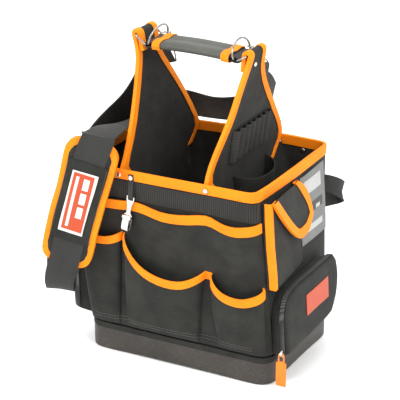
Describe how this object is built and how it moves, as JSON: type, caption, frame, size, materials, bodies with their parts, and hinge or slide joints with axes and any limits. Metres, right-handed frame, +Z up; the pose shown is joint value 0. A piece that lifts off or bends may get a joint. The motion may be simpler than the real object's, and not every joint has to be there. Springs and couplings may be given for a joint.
{
  "type": "tool bag",
  "caption": "Open-top fabric tool bag on a hard moulded base, with outside pockets, a padded carrying grip between two gables and a padded shoulder strap.",
  "frame": {"origin": "middle of the base tray's underside, on the surface that the bag stands on", "axes": "+Z up, +X to the right along the front, the front faces -Y"},
  "size_m": [0.3795, 0.3382, 0.4918],
  "materials": {
    "cloth": "charcoal woven polyester, coated, matt",
    "webbing": "dark grey woven webbing, matt",
    "tape": "orange grosgrain binding tape",
    "pull": "orange moulded zip pull",
    "tray": "dark grey-brown moulded base, fine grain",
    "grip": "grey soft grip foam with a smooth skin",
    "nickel": "bright nickel plate",
    "darkMetal": "nickel-plated steel wire",
    "label": "plain orange-red woven label",
    "greyLabel": "plain grey printed card"
  },
  "bodies": {
    "bag": {"base_tray": "tray", "base_welt": "cloth", "body_shell": "cloth", "rim_binding": "tape", "gable_left": "cloth", "gable_left_front_binding": "tape", "gable_left_rear_binding": "tape", "gable_right": "cloth", "gable_right_front_binding": "tape", "gable_right_rear_binding": "tape", "link_ring_left": "darkMetal", "d_ring_left": "darkMetal", "link_ring_right": "darkMetal", "d_ring_right": "darkMetal", "handle_webbing": "webbing", "handle_grip": "grip", "grip_end_left": "tape", "grip_end_right": "tape", "shoulder_pad": "cloth", "pad_binding": "tape", "pad_sleeve": "cloth", "pad_label": "label", "shoulder_strap": "webbing", "snap_hook_right": "darkMetal", "snap_hook_left": "darkMetal", "rib_band": "cloth", "upper_pocket": "cloth", "upper_pocket_binding": "tape", "pocket_left": "cloth", "pocket_middle": "cloth", "pocket_right": "cloth", "lower_pocket_binding": "tape", "side_pocket": "cloth", "side_pocket_binding": "tape", "side_flap": "cloth", "side_flap_binding": "tape", "label_panel": "greyLabel", "zip_pocket_right": "cloth", "zipper_right": "webbing", "zip_slider_right": "nickel", "zip_pocket_left": "cloth", "zipper_left": "webbing", "zip_slider_left": "nickel", "zip_pocket_label": "label", "hammer_loop": "webbing", "bit_sleeves": "webbing", "holster": "cloth", "rivet_front_left": "nickel", "rivet_front_right": "nickel", "rivet_back": "darkMetal", "rivet_rear_right": "darkMetal", "rivet_gable_right": "nickel", "clip_strap": "webbing", "clip_stud": "nickel", "clip_body": "nickel"},
    "jaw": {"clip_jaw": "nickel"},
    "pull_right": {"zip_pull_right": "pull"},
    "pull_left": {"zip_pull_left": "pull"}
  },
  "joints": [
    {"name": "clip_jaw_hinge", "type": "hinge", "parent": "bag", "child": "jaw", "pos_m": [-0.06707, -0.13296, 0.23512], "axis": [-0.9848, 0, 0.1736], "range_deg": [0, 30], "stiffness_Nm_per_rad": 0.02},
    {"name": "zip_pull_right_hinge", "type": "hinge", "parent": "bag", "child": "pull_right", "pos_m": [0.17191, -0.10815, 0.05914], "axis": [-1, 0, 0], "range_deg": [0, 150]},
    {"name": "zip_pull_left_hinge", "type": "hinge", "parent": "bag", "child": "pull_left", "pos_m": [-0.17523, 0.08815, 0.1052], "axis": [1, 0, 0], "range_deg": [0, 150]}
  ]
}
